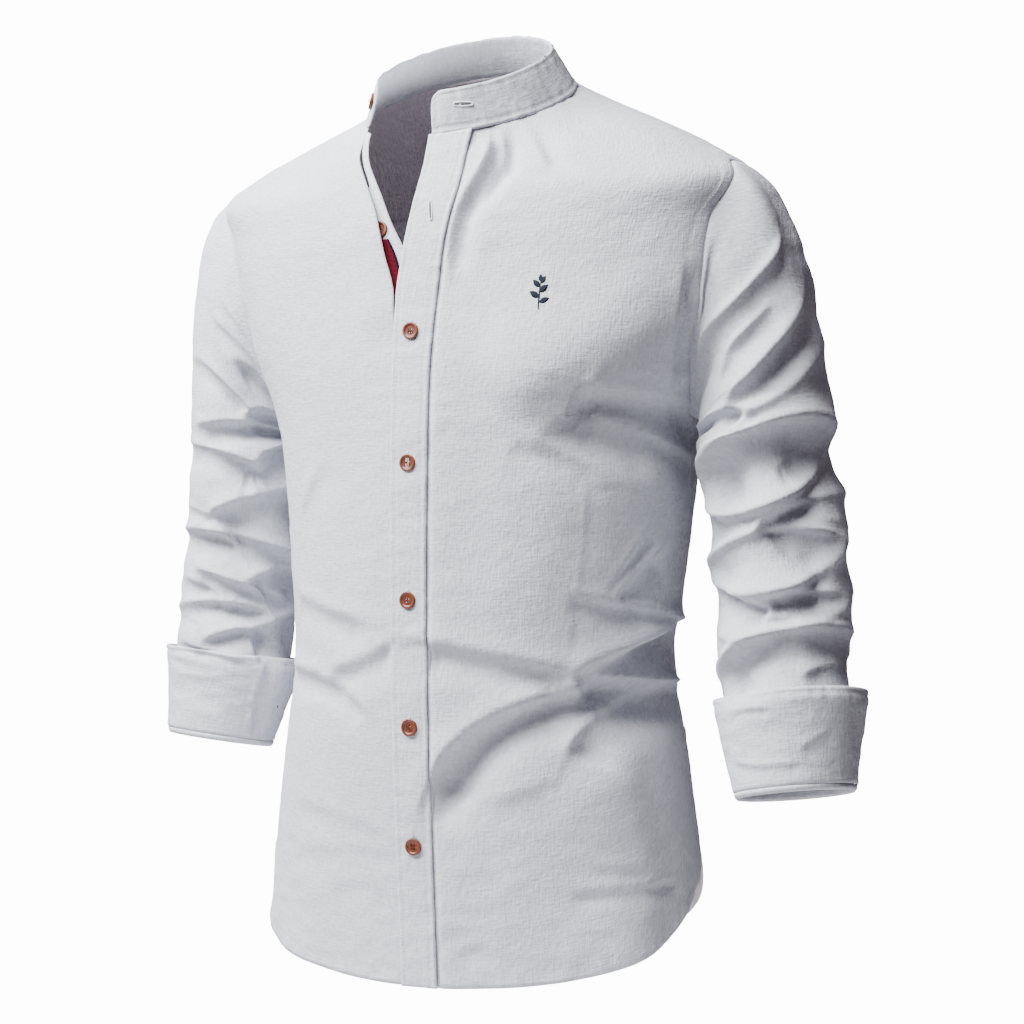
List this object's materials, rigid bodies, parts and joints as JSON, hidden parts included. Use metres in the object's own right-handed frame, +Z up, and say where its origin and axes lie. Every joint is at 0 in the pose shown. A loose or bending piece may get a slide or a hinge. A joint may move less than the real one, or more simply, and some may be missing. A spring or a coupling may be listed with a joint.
{
  "type": "mandarin collar shirt",
  "caption": "Long-sleeved shirt with a stand collar, part-open placket and turned-back cuffs, hollow as it hangs when worn.",
  "frame": {"origin": "middle of the shoulder line, level with the base of the neck, where the wearer's shoulders hold the shirt", "axes": "+X to the wearer's left, -Y to the front, +Z up"},
  "size_m": [0.6842, 0.2737, 0.8233],
  "materials": {
    "linen_cloth": "slubby plain weave, matt, pale grey",
    "trim": "woven ribbon, red with thin navy edges",
    "wood_button": "turned, satin, red-brown"
  },
  "bodies": {
    "root": {"front_left": "linen_cloth", "front_right": "linen_cloth", "back": "linen_cloth", "yoke": "linen_cloth", "collar": "linen_cloth", "placket": "linen_cloth", "button_band": "linen_cloth", "band_tape": "trim", "sleeve_left": "linen_cloth", "sleeve_right": "linen_cloth", "cuff_left": "linen_cloth", "cuff_right": "linen_cloth", "button_1": "wood_button", "button_2": "wood_button", "button_3": "wood_button", "button_4": "wood_button", "button_5": "wood_button", "button_band_top": "wood_button", "button_collar": "wood_button"}
  },
  "joints": []
}
